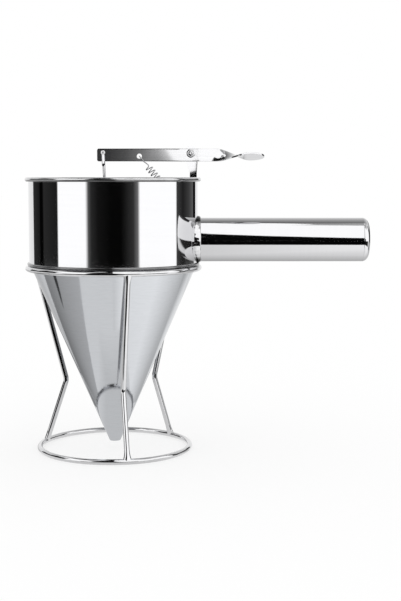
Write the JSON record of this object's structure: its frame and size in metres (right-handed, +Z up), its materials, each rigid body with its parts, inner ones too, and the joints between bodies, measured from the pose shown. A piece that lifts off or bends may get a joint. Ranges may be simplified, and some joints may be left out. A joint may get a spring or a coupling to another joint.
{
  "type": "batter dispenser",
  "caption": "Steel funnel dispenser with a tube handle, a sprung thumb lever that lifts a rod and plug from the outlet, and a wire stand.",
  "frame": {"origin": "on the floor, under the funnel's axis, at the centre of the stand's base ring", "axes": "+Z up along the funnel's axis, +X along the handle away from the bowl, -Y towards the lever's flat side"},
  "size_m": [0.2995, 0.1534, 0.2655],
  "materials": {
    "polished_sheet": "mirror polished",
    "satin_sheet": "satin",
    "brushed_strip": "brushed lengthwise",
    "bright_wire": "bright drawn wire",
    "turned_steel": "turned",
    "spring_wire": "drawn spring wire"
  },
  "bodies": {
    "stand": {"stand_top_ring": "bright_wire", "stand_base_ring": "bright_wire", "stand_leg_front": "bright_wire", "stand_leg_right": "bright_wire", "stand_leg_left": "bright_wire"},
    "funnel": {"bowl": "polished_sheet", "cone": "satin_sheet", "handle_tube": "polished_sheet", "handle_end_cap": "polished_sheet", "handle_weld": "polished_sheet", "pivot_bracket": "polished_sheet", "pivot_bolt": "turned_steel", "pivot_nut": "turned_steel", "front_washer": "turned_steel", "spacer_washer": "turned_steel", "rear_washer": "turned_steel", "return_spring": "spring_wire"},
    "lever": {"lever": "brushed_strip"},
    "rod": {"valve_rod": "bright_wire", "stopper_plug": "turned_steel"}
  },
  "joints": [
    {"name": "funnel_lift", "type": "slide", "parent": "stand", "child": "funnel", "axis": [0, 0, 1], "range_m": [0, 0.165]},
    {"name": "lever_press", "type": "hinge", "parent": "funnel", "child": "lever", "pos_m": [0.0674, -0.0024, 0.25915], "axis": [0, 1, 0], "range_deg": [0, 12], "stiffness_Nm_per_rad": 1.3, "springref_deg": -11.46, "deforming": ["return_spring"]},
    {"name": "rod_swing", "type": "hinge", "parent": "lever", "child": "rod", "pos_m": [-0.0085, -0.0024, 0.2597], "axis": [0, 1, 0], "range_deg": [-12, 0]}
  ],
  "couplings": [
    {"joint": "rod_swing", "follows": "lever_press", "ratio": -1}
  ]
}
